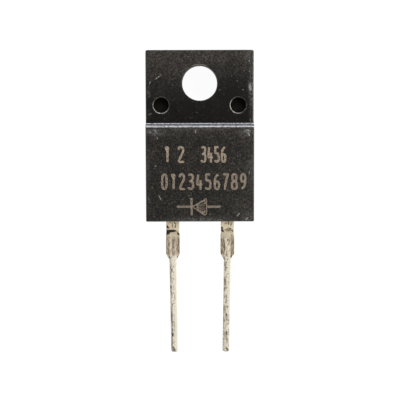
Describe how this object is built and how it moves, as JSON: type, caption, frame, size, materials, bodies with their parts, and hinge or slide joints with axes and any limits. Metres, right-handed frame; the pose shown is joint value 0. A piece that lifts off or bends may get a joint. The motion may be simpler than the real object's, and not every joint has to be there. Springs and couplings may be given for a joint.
{
  "type": "power diode",
  "caption": "Isolated flat power diode: black moulded case with screw-mount tab and a pair of parallel tinned leads.",
  "frame": {"origin": "on the screw-hole axis at the flat back face", "axes": "+Z is the outward normal of the front face, +Y points to the tab end along the length, the leads run towards -Y, +X points to the anode lead"},
  "size_m": [0.01, 0.0281, 0.0046],
  "materials": {
    "moulding_compound": "matte",
    "tinned_copper": "satin",
    "solder": "satin",
    "silicon": "polished",
    "aluminium_wire": "satin",
    "laser_mark": "matte"
  },
  "bodies": {
    "root": {"moulded_case": "moulding_compound", "cathode_leadframe": "tinned_copper", "anode_lead": "tinned_copper", "die_attach_solder": "solder", "diode_chip": "silicon", "bond_wire_1": "aluminium_wire", "bond_wire_2": "aluminium_wire"}
  },
  "joints": []
}
